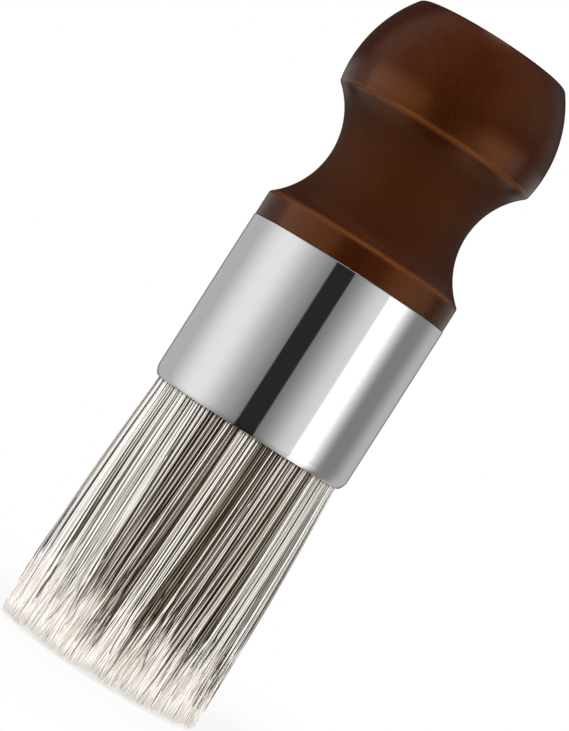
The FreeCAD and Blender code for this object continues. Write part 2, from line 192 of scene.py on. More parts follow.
def grip_outline():
    """The grip from the end of its tenon, over collar, neck, ridge and head, to its flat top.

    The neck is one arc that spans collar and ridge evenly. The head's side is one arc
    from the ridge to the top, whose widest point stands out past the ridge by the swell:
    a quadratic gives its radius. Each rounding is an arc whose centre lies one rounding
    radius away from both of the lines or arcs that it joins.
    """
    tenon_radius, tenon_chamfer = 18.45, 1.0
    neck_radius, swell, top_radius = 13.6, 0.45, 14.45
    foot_round, collar_round, ridge_round, rim_round = 0.15, 0.8, 1.0, 1.0
    depth = COLLAR_RADIUS - neck_radius
    neck_curve = (((RIDGE - COLLAR_TOP) / 2) ** 2 + depth ** 2) / (2 * depth)
    neck = np.array((neck_radius + neck_curve, (COLLAR_TOP + RIDGE) / 2))
    inset, rise = COLLAR_RADIUS + swell - top_radius, HEAD_TOP - RIDGE
    chord = rise ** 2 + (inset - swell) ** 2
    head_curve = (
        (inset + swell) * chord - 2 * rise * math.sqrt(swell * inset * chord)
    ) / (2 * (inset - swell) ** 2)
    head = np.array((
        COLLAR_RADIUS + swell - head_curve,
        RIDGE + math.sqrt(2 * head_curve * swell - swell ** 2),
    ))

    collar_x = COLLAR_RADIUS - collar_round
    collar_centre = np.array((
        collar_x,
        neck[1] - math.sqrt((neck_curve + collar_round) ** 2 - (neck[0] - collar_x) ** 2),
    ))
    rim_z = HEAD_TOP - rim_round
    rim_centre = np.array((
        head[0] + math.sqrt((head_curve - rim_round) ** 2 - (rim_z - head[1]) ** 2), rim_z,
    ))
    to_neck, to_head = neck_curve + ridge_round, head_curve - ridge_round
    apart = head - neck
    distance = np.linalg.norm(apart)
    along = (to_neck ** 2 - to_head ** 2 + distance ** 2) / (2 * distance)
    across = math.sqrt(to_neck ** 2 - along ** 2)
    unit = apart / distance
    ridge_centre = min(
        (neck + along * unit + side * across * np.array((-unit[1], unit[0])) for side in (-1, 1)),
        key=lambda centre: math.dist(centre, (COLLAR_RADIUS, RIDGE)),
    )

    collar_to = angle_from(collar_centre, neck)
    neck_from = angle_from(neck, collar_centre) % 360
    neck_to = angle_from(neck, ridge_centre) % 360
    ridge_from = angle_from(ridge_centre, neck)
    ridge_to = angle_from(head, ridge_centre)
    rim_from = angle_from(head, rim_centre)
    foot = COLLAR_RADIUS - foot_round, FERRULE_TOP + foot_round
    return outline_of(
        run((0, TENON_END), (tenon_radius - tenon_chamfer, TENON_END), 4),
        run((tenon_radius - tenon_chamfer, TENON_END), (tenon_radius, TENON_END + tenon_chamfer)),
        run((tenon_radius, TENON_END + tenon_chamfer), (tenon_radius, FERRULE_TOP), 3),
        run((tenon_radius, FERRULE_TOP), (foot[0], FERRULE_TOP)),
        bend(foot, foot_round, -90, 0, 6),
        run((COLLAR_RADIUS, foot[1]), (COLLAR_RADIUS, collar_centre[1])),
        bend(collar_centre, collar_round, 0, collar_to, 14),
        bend(neck, neck_curve, neck_from, neck_to, 90),
        bend(ridge_centre, ridge_round, ridge_from, ridge_to, 14),
        bend(head, head_curve, ridge_to, rim_from, 70),
        bend(rim_centre, rim_round, rim_from, 90, 16),
        run((rim_centre[0], HEAD_TOP), (0, HEAD_TOP)),
    )


def ferrule_outline():
    """The ferrule's section: outer wall and curl, cut edge of the sheet, and the same inside.

    The curl is two arcs about one centre, a sheet's thickness apart. The lip's cut edge
    is a half circle as wide as the sheet, and the two edges at the top are broken by a
    small arc each. The inner curl stops half a degree short of the point that closes
    the loop.
    """
    turn = math.radians(LIP_TURN)
    centre = np.array((FERRULE_RADIUS - LIP_RADIUS, FERRULE_MOUTH + LIP_RADIUS * math.sin(turn)))
    inner_curl = LIP_RADIUS - SHEET_THICKNESS
    bore = FERRULE_RADIUS - SHEET_THICKNESS
    lip_way = np.array((math.cos(turn), -math.sin(turn)))
    edge = 0.12
    lip_middle = centre + (LIP_RADIUS + inner_curl) / 2 * lip_way
    half = SHEET_THICKNESS / 2
    return outline_of(
        bend(lip_middle, half, 180 - LIP_TURN, 360 - LIP_TURN, 9),
        bend(centre, LIP_RADIUS, -LIP_TURN, 0, 26),
        run((FERRULE_RADIUS, centre[1]), (FERRULE_RADIUS, FERRULE_TOP - edge), 2),
        bend((FERRULE_RADIUS - edge, FERRULE_TOP - edge), edge, 0, 90, 6),
        run((FERRULE_RADIUS - edge, FERRULE_TOP), (bore + edge, FERRULE_TOP)),
        bend((bore + edge, FERRULE_TOP - edge), edge, 90, 180, 6),
        run((bore, FERRULE_TOP - edge), (bore, centre[1]), 4),
        bend(centre, inner_curl, 0, 0.5 - LIP_TURN, 14),
    )


def knot_radius(height):
    """The knot's outer radius: mouth radius + flare x (1 - (height / filament length)^2)."""
    level = np.clip(height, 0, FERRULE_MOUTH) / FERRULE_MOUTH
    return MOUTH_RADIUS + FLARE * (1 - level ** 2)


def knot_middle_outline():
    """The close-packed middle of the knot, a little behind the outer filaments and their tips.

    Its side keeps a set distance inside the knot's radius, and is straight in the ferrule.
    """
    behind, low, high = 1.15, 5.0, 62.0
    height = np.linspace(low, FERRULE_MOUTH, 30)
    side = np.column_stack((knot_radius(height) - behind, height))
    return outline_of(
        run((0, low), side[0], 3), side, run(side[-1], (side[-1][0], high), 4),
        run((side[-1][0], high), (0, high), 4),
    )


# Filaments

def locks_round(dice, named):
    """Bearings and shades of the knot's locks: the named ones, then seeded ones round the back.

    Each lock is (first bearing, last bearing, shade), with 0 near black and 1 cream. The
    seeded ones are 3 to 15 degrees wide, and a pale one follows a dark one.
    """
    locks = list(named)
    at = named[-1][1]
    while at < 360 + named[0][0]:
        width = dice.uniform(3, 15)
        pale = locks[-1][2] < 0.5
        locks.append((at, at + width, dice.uniform(0.6, 0.88) if pale else dice.uniform(0.16, 0.5)))
        at += width
    return locks


def lock_shade(bearing, locks):
    """The shade of the lock at each bearing.

    Each lock is level over its middle, and between two locks the shade changes evenly,
    over 2 degrees or, by a narrow lock, over less.
    """
    stops, shades = [], []
    for first, last, shade in locks:
        ease = min(1.0, (last - first) / 4)
        stops += [first + ease, last - ease]
        shades += [shade, shade]
    first = locks[0][0]
    return np.interp((bearing - first) % 360 + first, stops, shades, period=360)


def uneven(dice, bearing, step):
    """Seeded noise from -1 to 1 round the knot, with a new value every step degrees.

    At t of the way from one value to the next, 3 t^2 - 2 t^3 of the next is mixed in.
    """
    count = max(3, round(360 / step))
    values = dice.uniform(-1, 1, count)
    place = (bearing % 360) / 360 * count
    low = np.floor(place).astype(int)
    share = place - low
    share = share * share * (3 - 2 * share)
    return values[low % count] * (1 - share) + values[(low + 1) % count] * share


# The strand map's second axis: how many millimetres of an outer filament one unit spans,
# and the place along it below which a filament is bleached.
STRAND_SPAN = 62
BLEACHED = 0.3

# A filament's five edges, as degrees round it from straight outwards, and how much
# # painted shade darkens each one: two along the crest, one on each flank, one along the back.
FILAMENT_EDGES = np.radians((-38, 38, 100, 180, -100))
FILAMENT_PAINTED_SHADE = np.array((0.0, 0.02, 0.34, 0.50, 0.32))

# How many points along it an outer filament has.
STATIONS = 13


def drawn_filaments(name, path, outward, half_width, shade, along, finish):
    """Filaments as closed five-edged tubes that turn their crests outwards.

    path and outward are arrays of filament x station x (x, y, z). Each edge lies at
    path + half_width x (cosine of its angle x outward + sine of its angle x sideways).
    The strand map's first axis is shade, with painted shade on the flanks and the back,
    where neighbours shut the light out, and less of it the paler the filament is, because
    light comes through pale bristle. It differs a little from edge to edge, so that each
    face has a width in the map. Its second axis runs along the filament.
    """
    count, stations = path.shape[:2]
    edges = len(FILAMENT_EDGES)
    sideways = np.cross(np.gradient(path, axis=1), outward)
    sideways /= np.linalg.norm(sideways, axis=2, keepdims=True)
    spokes = (
        np.cos(FILAMENT_EDGES)[:, None] * outward[:, :, None]
        + np.sin(FILAMENT_EDGES)[:, None] * sideways[:, :, None]
    )
    corners = path[:, :, None] + half_width[:, :, None, None] * spokes
    # Painted shade on each edge: the flanks and back are darker, pale filaments less so.
    painted_shade = FILAMENT_PAINTED_SHADE * (1.1 - 0.5 * shade[:, None, None])
    across = np.clip(shade[:, None, None] - painted_shade, 0.02, 0.98) + np.linspace(-0.01, 0.01, edges)
    across = np.broadcast_to(across, (count, stations, edges))
    down = np.broadcast_to(np.clip(along, 0.01, 0.99)[..., None], across.shape)
    filament = np.arange(count)[:, None, None] * stations * edges
    station = filament + np.arange(stations - 1)[None, :, None] * edges
    edge = np.arange(edges)
    beyond = (edge + 1) % edges
    sides = np.stack(
        (station + edge, station + beyond, station + edges + beyond, station + edges + edge),
        axis=-1,
    )
    faces = sides.reshape(-1, 4).tolist()
    faces += (filament[:, 0] + edge[::-1]).tolist()
    faces += (filament[:, 0] + (stations - 1) * edges + edge).tolist()
    strand_map = np.stack((across, down), axis=-1).reshape(-1, 2)
    return solid_mesh(name, corners.reshape(-1, 3), faces, finish, strand_map)


def round_the_axis(radius, bearing, height):
    """Points at a radius, a bearing in degrees and a height, and their outward directions.

    The outward direction at bearing b is (sine of b, -cosine of b, 0).
    """
    angle = np.radians(bearing)
    outward = np.stack((np.sin(angle), -np.cos(angle), np.zeros_like(angle)), axis=-1)
    points = outward * radius[..., None]
    points[..., 2] = height
    return points, outward


# The knot's locks on the side that faces the camera, each as first bearing, last bearing
# and shade, and the seed that the others follow from.
LOCK_SEED = 5
FRONT_LOCKS = (
    (-92, -80, 0.40), (-80, -76, 0.18), (-76, -60, 0.97), (-60, -56, 0.68), (-56, -48, 0.83),
    (-48, -40, 0.99), (-40, -36, 0.80), (-36, -32, 0.83), (-32, -24, 0.72), (-24, -16, 0.44),
    (-16, -8, 0.48), (-8, -4.5, 0.55), (-4.5, 7, 0.69), (7, 12.5, 0.25), (12.5, 16, 0.42),
    (16, 20, 0.27), (20, 24, 0.78), (24, 28, 0.55), (28, 32, 0.67), (32, 36, 0.48),
    (36, 40, 0.86), (40, 44, 0.35), (44, 56, 0.84), (56, 70, 0.76), (70, 92, 0.65),
)

# How the locks lean: bearings round the knot, and by how many degrees the tips at each
# one have moved on from their roots.
LEANING_AT = (-90, -66, -52, -31, -14, 0, 10, 25, 34, 44, 57, 90, 130, 180, 230)
LEANING_BY = (1, 3.7, 4.8, 4.2, -4.2, -4.0, -6.0, -7.8, -9.5, -10, -9, -3, 4, -5, 3)

# The layers of outer filaments, from the surface inwards: depth to the filaments'
# # middles, how many there are, their least and greatest half width, and how much darker
# # they are, as painted shade where the outer layers shadow them.
BRISTLE_LAYERS = (
    (0.12, 430, 0.055, 0.12, 0.00),
    (0.28, 430, 0.065, 0.14, 0.18),
    (0.54, 360, 0.09, 0.16, 0.34),
    (0.86, 330, 0.14, 0.18, 0.48),
)

# The shares of pale and of dark filaments in a lock of each shade. The rest are middling.
LOCK_SHADES = (0.35, 0.45, 0.60, 0.75, 0.95)
PALE_SHARES = (0.14, 0.22, 0.38, 0.55, 0.76)
DARK_SHARES = (0.54, 0.45, 0.34, 0.26, 0.18)

# Multiples of the first spread their fractions evenly between 0 and 1, and multiples of
# the second spread bearings evenly round a circle.
GOLDEN_SHARE = 0.618034
GOLDEN_ANGLE = 137.50776


def mixed_shades(dice, bearing, lock):
    """Shades of neighbouring filaments in locks of mixed pale, middling and dark bristle.

    Filament n takes its kind from the fraction of n times the golden share, which keeps
    the mix even. Then each is shifted by four fifths of the lock's shade less the mean
    shade within about 2 degrees of it.
    """
    count = len(lock)
    turn = (np.arange(count) * GOLDEN_SHARE + dice.uniform(0, 0.25, count)) % 1
    pale_share = np.interp(lock, LOCK_SHADES, PALE_SHARES)
    dark_share = np.interp(lock, LOCK_SHADES, DARK_SHARES)
    shade = dice.uniform(0.44, 0.68, count)
    shade = np.where(turn < pale_share, dice.uniform(0.82, 1.0, count), shade)
    shade = np.where(turn > 1 - dark_share, dice.uniform(0.04, 0.28, count), shade)
    apart = (bearing[:, None] - bearing + 180) % 360 - 180
    near = np.exp(-(apart / 2.2) ** 2)
    return shade + 0.8 * (lock - near @ shade / near.sum(axis=1))


def paleness_of(lock):
    """How pale a lock is: 0 up to a shade of 0.45, 1 from a shade of 0.8, even in between."""
    return np.clip((lock - 0.45) / 0.35, 0, 1)


def down_from(top, cut, way):
    """Each filament's heights: its top and then down to its cut end, in shares of the way."""
    return top[:, None] + (cut - top)[:, None] * way


def thinned(dice, count, least, greatest, way, stops, shares):
    """Random half widths between two limits, times a share that changes along the way."""
    return dice.uniform(least, greatest, count)[:, None] * np.interp(way, stops, shares)


def ragged(bearing):
    """How many millimetres the cut end stands back at each bearing, from 0 to 0.8."""
    return 0.4 * (1 + uneven(np.random.default_rng(41), bearing, 4.5))


def bristle_layers():
    """The outer filaments, in layers from the surface inwards.

    A filament's bearing moves on by the lean of its part of the knot times (the way down
    less 0.4), and by a random angle times the way to the power 1.5. A sine of its height
    waves it, and its last few millimetres hook by a random angle times the sixth power
    of the way. Its radius follows the knot's, less its depth and plus a slight bow that
    is half a sine wave along its length. A third of the filaments end early. All are
    bleached below 12 to 13 mm or so, apart from one in thirteen in the dark locks, and
    far fewer in the pale ones, that keep their colour to the end.
    """
    dice = np.random.default_rng(LOCK_SEED)
    locks = locks_round(dice, FRONT_LOCKS)
    way = 1 - (1 - np.linspace(0, 1, STATIONS)) ** 1.3
    top = 51.0
    made = []
    for depth, count, thinnest, thickest, darker in BRISTLE_LAYERS:
        bearing = (np.arange(count) + dice.uniform(-0.4, 0.4, count)) * 360 / count - 180
        lock = lock_shade(bearing, locks)
        # Deeper layers are darkened by painted shade.
        shade = np.clip(mixed_shades(dice, bearing, lock) - darker, 0.03, 0.98)
        chance = dice.random(count)
        cut = np.clip(dice.exponential(0.5, count) + ragged(bearing), 0, 3)
        cut = np.where(chance < 0.34, dice.uniform(3, 11, count), cut)
        cut = np.where(chance < 0.04, dice.uniform(12, 22, count), cut)[:, None]
        paleness = paleness_of(lock)
        fade = 12.1 + 0.8 * paleness + 1.7 * uneven(dice, bearing, 9) + dice.normal(0, 2.1, count)
        dark_to_the_end = (chance < 0.06) | (chance > 0.985)
        dark_to_the_end &= dice.random(count) < 1.0 - 0.9 * paleness
        fade = np.where(dark_to_the_end, -10, fade)
        height = top + (cut - top) * way
        wave_length = dice.uniform(14, 28, count)[:, None]
        wave = np.sin(2 * math.pi * (height / wave_length + chance[:, None] * 9))
        leaning = np.interp(bearing, LEANING_AT, LEANING_BY, period=360)
        turn = (
            bearing[:, None]
            + leaning[:, None] * (way - 0.4)
            + dice.normal(0, 1.0, count)[:, None] * way ** 1.5
            + dice.normal(0, 0.07, count)[:, None] * wave * np.sqrt(way)
            + dice.normal(0, 1.5, count)[:, None] * way ** 6
        )
        bow = dice.uniform(-0.1, 0.1, count)[:, None] * np.sin(math.pi * way)
        radius = knot_radius(height) - depth - dice.uniform(0, 0.1, count)[:, None] + bow
        path, outward = round_the_axis(radius, turn, height)
        taper = np.interp(height - cut, [0, 3, 14], [0.35, 0.7, 1.0]) * radius / MOUTH_RADIUS
        half_width = dice.uniform(thinnest, thickest, count)[:, None] * taper
        along = BLEACHED + (height - fade[:, None]) / STRAND_SPAN
        made.append((path, outward, half_width, shade, along))
    return [np.concatenate(parts) for parts in zip(*made)]


def strays():
    """A few thin filaments that part from their locks, cross the others and end early.

    They rise from half a millimetre deep to the surface by the square root of the way
    down, lean by a random angle times the way, and hook by another times its ninth power.
    """
    dice = np.random.default_rng(31)
    locks = locks_round(np.random.default_rng(LOCK_SEED), FRONT_LOCKS)
    count = 250
    way = np.linspace(0, 1, STATIONS)
    bearing = dice.uniform(-180, 180, count)
    lock = lock_shade(bearing, locks)
    cut = dice.uniform(3.5, 13, count)
    top = cut + dice.uniform(6, 15, count)
    height = down_from(top, cut, way)
    turn = (
        bearing[:, None]
        + dice.normal(0, 2.0, count)[:, None] * way
        + dice.normal(0, 0.8, count)[:, None] * way ** 9
    )
    depth = 0.5 * (1 - np.sqrt(way)) + dice.uniform(-0.04, 0.06, count)[:, None]
    path, outward = round_the_axis(knot_radius(height) - depth, turn, height)
    half_width = thinned(dice, count, 0.045, 0.085, way, (0, 0.1, 0.8, 1), (0.3, 1, 1, 0.6))
    pale = dice.random(count) < 1.7 * lock - 0.72
    shade = np.where(pale, dice.uniform(0.78, 0.98, count), dice.uniform(0.14, 0.42, count))
    unbleached = np.full(height.shape, 2 * BLEACHED)
    return path, outward, half_width, shade, unbleached


def flag_layer():
    """Short, bleached ends that fill the outside of the knot towards its tips.

    They start among the outer filaments, up to 6 mm higher where the lock is pale. Their
    radius is the knot's, less a random depth and 0.6 mm times the way that is left, and
    they lean by a random angle times the way.
    """
    dice = np.random.default_rng(17)
    locks = locks_round(np.random.default_rng(LOCK_SEED), FRONT_LOCKS)
    count = 3200
    way = np.linspace(0, 1, 6)
    bearing = dice.uniform(-180, 180, count)
    paleness = paleness_of(lock_shade(bearing, locks))
    cut = np.clip(dice.exponential(0.45, count) + ragged(bearing), 0, 3)
    top = 5.5 + 6.0 * paleness + dice.exponential(2.0, count)
    height = down_from(top, cut, way)
    turn = bearing[:, None] + dice.normal(0, 1.2, count)[:, None] * way
    depth = dice.uniform(0.06, 1.0, count)
    radius = knot_radius(height) - depth[:, None] - 0.6 * (1 - way)
    path, outward = round_the_axis(radius, turn, height)
    half_width = thinned(dice, count, 0.05, 0.12, way, (0, 0.2, 0.6, 1), (0.3, 1, 1, 0.5))
    shade = dice.uniform(0.55, 0.98, count)
    fade = 16 + dice.normal(0, 2, count)[:, None]
    along = BLEACHED + (height - fade) / STRAND_SPAN
    return path, outward, half_width, shade, along


def packed_ends():
    """The ends of the filaments inside the knot, spread evenly over its cut end.

    End n of N stands at radius R sqrt(n / N) and bearing n times the golden angle, which
    leaves every end the same room, and the ends splay with the knot's flare. They are
    bleached over their last 3.5 mm. One unit of their map spans only 14 mm, so that the
    bleaching ends within about half a millimetre.
    """
    dice = np.random.default_rng(23)
    count = 5200
    bleached_to, map_span = 3.5, 14
    n = np.arange(count) + 0.5
    way = np.linspace(0, 1, 4)
    bearing = n * GOLDEN_ANGLE + dice.normal(0, 0.6, count)
    cut = np.clip(dice.exponential(0.5, count) + ragged(bearing) * n / count, 0, 2.5)
    top = dice.uniform(8, 12, count)
    height = down_from(top, cut, way)
    bearing = np.repeat(bearing[:, None], len(way), axis=1)
    radius = (knot_radius(height) - 0.9) * np.sqrt(n / count)[:, None]
    path, outward = round_the_axis(radius, bearing, height)
    half_width = thinned(dice, count, 0.12, 0.2, way, (0, 0.6, 1), (1, 0.9, 0.4))
    shade = dice.uniform(0.6, 0.97, count)
    along = BLEACHED + (height - bleached_to) / map_span
    return path, outward, half_width, shade, along


# Finishes

def per_metre(spacing):
    """The scale of a pattern whose marks are this many millimetres apart."""
    return 1 / (spacing * MM)


def new_finish(name):
    """A material without any nodes yet, and its node tree."""
    finish = bpy.data.materials.new(name)
    finish.use_nodes = True
    finish.node_tree.nodes.clear()
    return finish, finish.node_tree


def distance_from(tree, height, level):
    """How far a height is from a level in millimetres, up or down, in metres."""
    apart = add_node(tree, "ShaderNodeMath", {"operation": "SUBTRACT"}, {
        0: height, 1: level * MM,
    }).outputs[0]
    return add_node(tree, "ShaderNodeMath", {"operation": "ABSOLUTE"}, {0: apart}).outputs[0]


def lacquered_stained_beech():
    """Beech, turned, stained dark walnut and sprayed with a semi-gloss lacquer.

    The stain hides nearly all of the grain. What the eye gets is a deep red-brown with
    faint fibres that run up the grip, slight clouding where stain has sunk in unevenly,
    and soft highlights that the thin lacquer's orange peel breaks up a little.
    """
    finish, tree = new_finish("lacquered_stained_beech")
    place = add_node(tree, "ShaderNodeTexCoord").outputs["Object"]
    # Fibres about 0.5 mm wide and some 15 mm long, so the pattern is stretched along Z.
    stretched = add_node(tree, "ShaderNodeMapping", links={
        "Vector": place, "Scale": (1.0, 1.0, 0.5 / 15),
    }).outputs["Vector"]
    fibres = add_node(tree, "ShaderNodeTexNoise", links={
        "Vector": stretched, "Scale": per_metre(0.5), "Detail": 3.0, "Roughness": 0.55,
    }).outputs["Fac"]
    # Clouds of stain about 12 mm across.
    clouds = add_node(tree, "ShaderNodeTexNoise", links={
        "Vector": place, "Scale": per_metre(12), "Detail": 4.0, "Roughness": 0.62,
    }).outputs["Fac"]
    # Specks in the sprayed coat, 0.2 mm apart in the real one and drawn 0.4 mm apart to show.
    specks = add_node(tree, "ShaderNodeTexNoise", links={
        "Vector": place, "Scale": per_metre(0.4), "Detail": 2.0, "Roughness": 0.7,
    }).outputs["Fac"]
    stain = add_node(tree, "ShaderNodeMix", {"data_type": "RGBA"}, {
        "Factor": clouds, "A": linear("#230b03"), "B": linear("#3a1505"),
    }).outputs["Result"]
    fibre_share = add_node(tree, "ShaderNodeMapRange", links={
        "Value": fibres, "From Min": 0.3, "From Max": 0.7, "To Min": 0.0, "To Max": 0.25,
    }).outputs["Result"]
    grained = add_node(tree, "ShaderNodeMix", {"data_type": "RGBA"}, {
        "Factor": fibre_share, "A": stain, "B": linear("#250b04"),
    }).outputs["Result"]
    speck_share = add_node(tree, "ShaderNodeMapRange", links={
        "Value": specks, "From Min": 0.52, "From Max": 0.75, "To Min": 0.0, "To Max": 0.42,
    }).outputs["Result"]
    speckled = add_node(tree, "ShaderNodeMix", {"data_type": "RGBA"}, {
        "Factor": speck_share, "A": grained, "B": linear("#4a2614"),
    }).outputs["Result"]
    height = add_node(tree, "ShaderNodeSeparateXYZ", links={"Vector": place}).outputs["Z"]
    # The two turned edges are painted lighter over 0.8 mm to each side: partly stain rubbed
    #     # thin, partly a painted highlight along each edge.
    worn_edge_and_highlight = 0.0
    for edge_height in (RIDGE, COLLAR_TOP + 0.1):
        near = add_node(tree, "ShaderNodeMapRange", {"interpolation_type": "SMOOTHSTEP"}, {
            "Value": distance_from(tree, height, edge_height),
            "From Min": 0.0, "From Max": 0.8 * MM, "To Min": 0.44, "To Max": 0.0,
        }).outputs["Result"]
        worn_edge_and_highlight = add_node(tree, "ShaderNodeMath", {"operation": "ADD"}, {
            0: worn_edge_and_highlight, 1: near,
        }).outputs[0]
    # Painted highlight and wear: the edge bands are mixed towards a light brown.
    colour = add_node(tree, "ShaderNodeMix", {"data_type": "RGBA"}, {
        "Factor": worn_edge_and_highlight, "A": speckled, "B": linear("#74421f"),
    }).outputs["Result"]
    # Fingers have rubbed the neck dull to 7 mm off its middle, and painted shade darkens
    #     # the hollow neck by a sixth. Both fade out by 10.8 mm off.
    off_neck = distance_from(tree, height, (COLLAR_TOP + RIDGE) / 2)
    dullness, neck_painted_shade = (
        add_node(tree, "ShaderNodeMapRange", {"interpolation_type": "SMOOTHSTEP"}, {
            "Value": off_neck, "From Min": 7.0 * MM, "From Max": 10.8 * MM,
            "To Min": on_the_neck, "To Max": elsewhere,
        }).outputs["Result"]
        for on_the_neck, elsewhere in ((0.66, 0.25), (0.83, 1.0))
    )
    # Painted shade: the colour is scaled down on the hollow neck.
    colour = add_node(tree, "ShaderNodeVectorMath", {"operation": "SCALE"}, {
        0: colour, "Scale": neck_painted_shade,
    }).outputs["Vector"]
    peel = add_node(tree, "ShaderNodeBump", links={
        "Height": specks, "Strength": 0.12, "Distance": 0.06 * MM,
    }).outputs["Normal"]
    shader = add_node(tree, "ShaderNodeBsdfPrincipled", links={
        "Base Color": colour, "Roughness": dullness, "Normal": peel, "IOR": 1.5,
        "Specular Tint": linear("#ffab6a"),
    })
    add_node(tree, "ShaderNodeOutputMaterial", links={"Surface": shader.outputs["BSDF"]})
    return finish


def chrome_plated_steel():
    """Sheet steel, deep-drawn, polished and chrome plated.

    It mirrors the room almost sharply. Along the tube, the draw has left fine marks that
    are only seen as a slight softness of the reflections across it.
    """
    finish, tree = new_finish("chrome_plated_drawn_steel")
    place = add_node(tree, "ShaderNodeTexCoord").outputs["Object"]
    # Draw marks 0.3 mm apart and as long as the tube.
    marks = add_node(tree, "ShaderNodeTexNoise", links={
        "Vector": add_node(tree, "ShaderNodeMapping", links={
            "Vector": place, "Scale": (1.0, 1.0, 0.3 / 30),
        }).outputs["Vector"],
        "Scale": per_metre(0.3), "Detail": 2.0,
    }).outputs["Fac"]
    softness = add_node(tree, "ShaderNodeMapRange", links={
        "Value": marks, "From Min": 0.3, "From Max": 0.7, "To Min": 0.035, "To Max": 0.06,
    }).outputs["Result"]
    shader = add_node(tree, "ShaderNodeBsdfPrincipled", links={
        "Base Color": linear("#ededee"), "Metallic": 1.0, "Roughness": softness,
    })
    add_node(tree, "ShaderNodeOutputMaterial", links={"Surface": shader.outputs["BSDF"]})
    return finish


def boar_bristle(name, darkest, lightest):
    """Natural boar bristle, boiled straight and sorted by colour.

    Its strand map gives the shade across and the place along. Every filament is its own
    tone, which drifts a little as it grew, and towards the tip, where it is split and
    worn, it bleaches to cream.
    """
    finish, tree = new_finish(name)
    strand = add_node(tree, "ShaderNodeUVMap", {"uv_map": "strand"}).outputs["UV"]
    parts = add_node(tree, "ShaderNodeSeparateXYZ", links={"Vector": strand}).outputs
    # The tone drifts over about 10 mm of an outer filament, in its own way for each shade.
    growth = add_node(tree, "ShaderNodeTexNoise", links={
        "Vector": add_node(tree, "ShaderNodeMapping", links={
            "Vector": strand, "Scale": (37.0, STRAND_SPAN / 10, 1.0),
        }).outputs["Vector"],
        "Scale": 1.0, "Detail": 2.0,
    }).outputs["Fac"]
    drift = add_node(tree, "ShaderNodeMapRange", links={
        "Value": growth, "From Min": 0.3, "From Max": 0.7, "To Min": -0.04, "To Max": 0.04,
    }).outputs["Result"]
    tone = add_node(tree, "ShaderNodeMath", {"operation": "ADD", "use_clamp": True}, {
        0: parts["X"], 1: drift,
    }).outputs[0]
    tones = add_node(tree, "ShaderNodeValToRGB", links={"Fac": tone})
    ramp = tones.color_ramp
    stops = ((0.0, darkest), (0.25, "#503d2a"), (0.45, "#877461"), (0.62, "#b3a89c"),
             (0.8, "#e8e3dd"), (1.0, lightest))
    ramp.elements[0].position, ramp.elements[1].position = 0.0, 1.0
    for position, _ in stops[1:-1]:
        ramp.elements.new(position)
    for element, (_, colour) in zip(ramp.elements, stops):
        element.color = linear(colour)
    # Only the darker bristle keeps a little colour at its tip.
    tips = add_node(tree, "ShaderNodeValToRGB", links={"Fac": parts["X"]})
    darker, paler = tips.color_ramp.elements
    darker.position, darker.color = 0.0, linear("#d8ccc0")
    paler.position, paler.color = 0.6, linear("#fffaf5")
    body_share = add_node(tree, "ShaderNodeMapRange", {"interpolation_type": "SMOOTHSTEP"}, {
        "Value": parts["Y"], "From Min": BLEACHED - 0.02, "From Max": BLEACHED + 0.02,
    }).outputs["Result"]
    colour = add_node(tree, "ShaderNodeMix", {"data_type": "RGBA"}, {
        "Factor": body_share, "A": tips.outputs["Color"], "B": tones.outputs["Color"],
    }).outputs["Result"]
    shader = add_node(tree, "ShaderNodeBsdfPrincipled", links={
        "Base Color": colour, "Roughness": 0.42, "IOR": 1.55,
    })
    add_node(tree, "ShaderNodeOutputMaterial", links={"Surface": shader.outputs["BSDF"]})
    return finish


def packed_bristle():
    """The mass of bristle behind the outer filaments, coloured near black as painted shade."""
    finish, tree = new_finish("packed_bristle_painted_shade")
    place = add_node(tree, "ShaderNodeTexCoord").outputs["Object"]
    # Filaments 0.3 mm thick, seen as streaks 15 mm long.
    streaks = add_node(tree, "ShaderNodeTexNoise", links={
        "Vector": add_node(tree, "ShaderNodeMapping", links={
            "Vector": place, "Scale": (1.0, 1.0, 0.3 / 15),
        }).outputs["Vector"],
        "Scale": per_metre(0.3), "Detail": 2.0,
    }).outputs["Fac"]
    # Painted shade: near-black browns for the dark inside of the knot.
    colour = add_node(tree, "ShaderNodeMix", {"data_type": "RGBA"}, {
        "Factor": streaks, "A": linear("#1a110a"), "B": linear("#3d2f24"),
    }).outputs["Result"]
    shader = add_node(tree, "ShaderNodeBsdfPrincipled", links={
        "Base Color": colour, "Roughness": 0.6, "IOR": 1.55,
    })
    add_node(tree, "ShaderNodeOutputMaterial", links={"Surface": shader.outputs["BSDF"]})
    return finish


def cast_resin():
    """Amber epoxy, poured into the ferrule round the roots and left as cast."""
    finish, tree = new_finish("cast_amber_epoxy")
    place = add_node(tree, "ShaderNodeTexCoord").outputs["Object"]
    # Cloudy patches about 4 mm across, where air was stirred in.
    clouds = add_node(tree, "ShaderNodeTexNoise", links={
        "Vector": place, "Scale": per_metre(4), "Detail": 3.0,
    }).outputs["Fac"]
    colour = add_node(tree, "ShaderNodeMix", {"data_type": "RGBA"}, {
        "Factor": clouds, "A": linear("#8a6a35"), "B": linear("#b8935a"),
    }).outputs["Result"]
    shader = add_node(tree, "ShaderNodeBsdfPrincipled", links={
        "Base Color": colour, "Roughness": 0.35, "IOR": 1.55,
    })
    add_node(tree, "ShaderNodeOutputMaterial", links={"Surface": shader.outputs["BSDF"]})
    return finish


def seen_directly(tree, rays):
    """1 for what the camera sees, straight or through something clear, and otherwise 0."""
    return add_node(tree, "ShaderNodeMath", {"operation": "MAXIMUM"}, {
        0: rays["Is Camera Ray"], 1: rays["Is Transmission Ray"],
    }).outputs[0]


